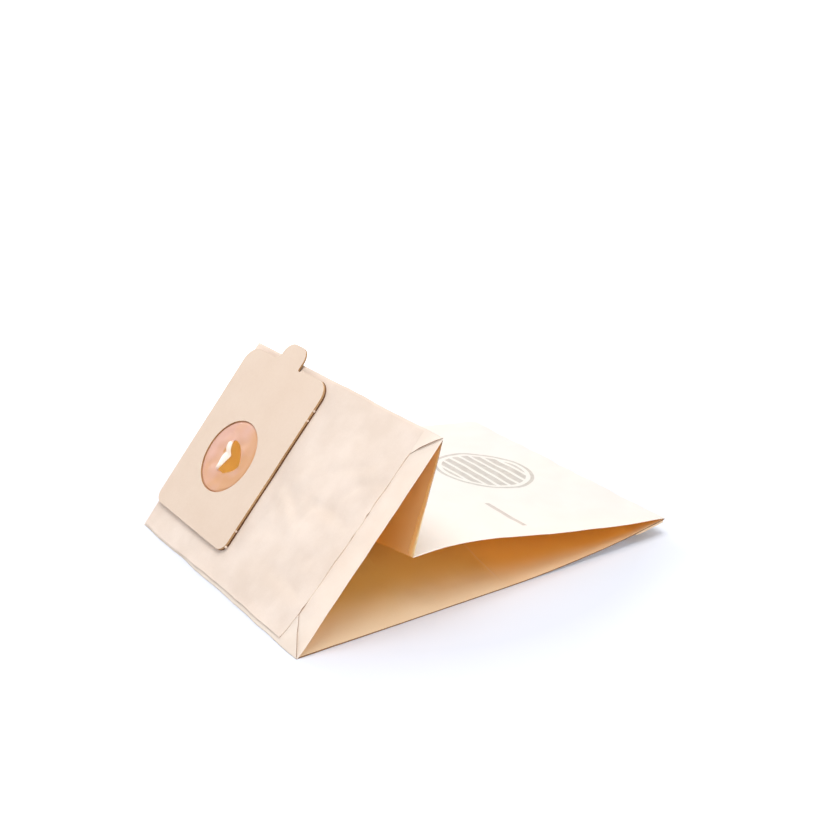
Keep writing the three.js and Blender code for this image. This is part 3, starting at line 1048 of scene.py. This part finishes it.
rubber, rubber_tree = new_tree("inlet_rubber")
rubber_out = add_node(rubber_tree, "ShaderNodeOutputMaterial")
rubber_shade = add_node(rubber_tree, "ShaderNodeBsdfPrincipled",
                        {"Roughness": 0.42, "Specular IOR Level": 0.4})
rubber_back = add_node(rubber_tree, "ShaderNodeBsdfTranslucent", {"Color": linear(250, 190, 140)})
rubber_mix = add_node(rubber_tree, "ShaderNodeMixShader", {"Fac": 0.2})
# The peach turns more yellow to one side. At the lip's foot it takes a painted shadow, and on the
# lip it is nearly white: thin stretched rubber, and partly a painted highlight on the lip's lit
# slope.
link = rubber_tree.links.new
rubber_colour = None
for value_name, tinted in (("warmth", linear(230, 178, 132)), ("spot", linear(206, 148, 70)),
                           ("lip", linear(255, 246, 230))):
    value = add_node(rubber_tree, "ShaderNodeAttribute", attribute_name=value_name)
    blend = add_node(rubber_tree, "ShaderNodeMix", {"B": tinted}, data_type="RGBA")
    if rubber_colour is None:
        blend.inputs["A"].default_value = linear(236, 192, 172)
    else:
        link(rubber_colour, blend.inputs["A"])
    link(value.outputs["Fac"], blend.inputs["Factor"])
    rubber_colour = blend.outputs["Result"]
link(rubber_colour, rubber_shade.inputs["Base Color"])
link(rubber_shade.outputs["BSDF"], rubber_mix.inputs[1])
link(rubber_back.outputs["BSDF"], rubber_mix.inputs[2])
link(rubber_mix.outputs["Shader"], rubber_out.inputs["Surface"])

membrane = mesh_object("inlet_membrane", membrane_skin.points, membrane_skin.faces,
                       membrane_skin.tags, [rubber], warmth=tints, lip=lips, spot=spots)
facing_front(membrane)
membrane_wall = membrane.modifiers.new("wall", "SOLIDIFY")
membrane_wall.thickness = membrane_thickness / 1000
membrane_wall.offset = 1
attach(membrane, "root")
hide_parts("inlet_rubber_sheet")

# Camera, as the photograph was taken: in front of the near floor corner, looking down
# across the block bottom toward the sealed end.
camera_data = bpy.data.cameras.new("camera")
camera_data.sensor_width = 36
camera_data.lens = 64.53
camera = bpy.data.objects.new("camera", camera_data)
camera.location = (-0.4750, -0.7046, 0.4146)
camera.rotation_euler = (math.radians(68.55), 0, math.radians(-34.48))
bpy.context.scene.collection.objects.link(camera)
bpy.context.scene.camera = camera

# Studio: a white table under soft light from above and behind, which leaves a faint bluish shadow
# close round the bag. The white that only the camera sees fades out near the bag, so the table
# there is darker: partly painted shade.
floor_mesh = bpy.data.meshes.new("table")
reach = 14.0
floor_mesh.from_pydata([(-reach, -reach, 0), (reach, -reach, 0), (reach, reach, 0),
                        (-reach, reach, 0)], [], [(0, 1, 2, 3)])
table = bpy.data.objects.new("table", floor_mesh)
bpy.context.scene.collection.objects.link(table)
table_white, table_tree = new_tree("table_white")
link = table_tree.links.new
table_out = add_node(table_tree, "ShaderNodeOutputMaterial")
table_matt = add_node(table_tree, "ShaderNodeBsdfDiffuse", {"Color": linear(223, 227, 237)})
table_lit = add_node(table_tree, "ShaderNodeEmission", {"Color": (1, 1, 1, 1)})
table_sum = add_node(table_tree, "ShaderNodeAddShader")
table_seen = add_node(table_tree, "ShaderNodeLightPath")
table_any = add_node(table_tree, "ShaderNodeMath", operation="MAXIMUM")
table_some = add_node(table_tree, "ShaderNodeMath", operation="MULTIPLY")
table_place = add_node(table_tree, "ShaderNodeTexCoord")
table_far = add_node(table_tree, "ShaderNodeVectorMath", operation="LENGTH")
# Camera-only white, faded out close round the bag: the darker table there is painted shade
table_share = add_node(table_tree, "ShaderNodeMapRange",
                       {"From Min": 0.15, "From Max": 0.42, "To Min": 0.03, "To Max": 0.8})
link(table_place.outputs["Object"], table_far.inputs[0])
link(table_far.outputs["Value"], table_share.inputs["Value"])
link(table_seen.outputs["Is Camera Ray"], table_any.inputs[0])
link(table_seen.outputs["Is Glossy Ray"], table_any.inputs[1])
link(table_any.outputs["Value"], table_some.inputs[0])
link(table_share.outputs["Result"], table_some.inputs[1])
link(table_some.outputs["Value"], table_lit.inputs["Strength"])
link(table_matt.outputs["BSDF"], table_sum.inputs[0])
link(table_lit.outputs["Emission"], table_sum.inputs[1])
link(table_sum.outputs["Shader"], table_out.inputs["Surface"])
floor_mesh.materials.append(table_white)

world = bpy.data.worlds.new("studio")
bpy.context.scene.world = world
world.use_nodes = True
sky = world.node_tree
sky.nodes.clear()
link = sky.links.new
sky_out = add_node(sky, "ShaderNodeOutputWorld")
sky_soft = add_node(sky, "ShaderNodeBackground", {"Color": (0.93, 0.96, 1.0, 1), "Strength": 0.5})
sky_white = add_node(sky, "ShaderNodeBackground", {"Color": (1, 1, 1, 1)})
sky_seen = add_node(sky, "ShaderNodeLightPath")
sky_glossy = add_node(sky, "ShaderNodeMath", operation="MAXIMUM")
sky_any = add_node(sky, "ShaderNodeMath", operation="MAXIMUM")
sky_mix = add_node(sky, "ShaderNodeMixShader")
link(sky_seen.outputs["Is Camera Ray"], sky_glossy.inputs[0])
link(sky_seen.outputs["Is Glossy Ray"], sky_glossy.inputs[1])
link(sky_glossy.outputs["Value"], sky_any.inputs[0])
link(sky_seen.outputs["Is Transmission Ray"], sky_any.inputs[1])
link(sky_any.outputs["Value"], sky_mix.inputs["Fac"])
link(sky_soft.outputs["Background"], sky_mix.inputs[1])
link(sky_white.outputs["Background"], sky_mix.inputs[2])
link(sky_mix.outputs["Shader"], sky_out.inputs["Surface"])


def soft_lamp(name, place, target, size, watts, colour):
    data = bpy.data.lights.new(name, "AREA")
    data.shape = "DISK"
    data.size = size
    data.energy = watts
    data.color = colour
    lamp = bpy.data.objects.new(name, data)
    lamp.location = place
    lamp.rotation_euler = (Vector(target) - Vector(place)).to_track_quat("-Z", "Y").to_euler()
    bpy.context.scene.collection.objects.link(lamp)


soft_lamp("lamp_above", (-0.15, -0.1, 1.5), (0, 0, 0), 1.1, 14.4, (1, 0.985, 0.965))
soft_lamp("lamp_front", (-1.5, -0.1, 0.9), (0, 0, 0.05), 0.8, 2.1, (1, 0.98, 0.97))
soft_lamp("lamp_near_side", (0.2, -1.3, 0.38), (0, 0, 0.03), 1.0, 7.5, (1, 0.97, 0.95))
soft_lamp("lamp_far_side", (0.1, 1.4, 0.3), (0, 0, 0.03), 0.8, 20, (1, 0.98, 0.95))

bpy.context.scene.view_settings.view_transform = "Standard"
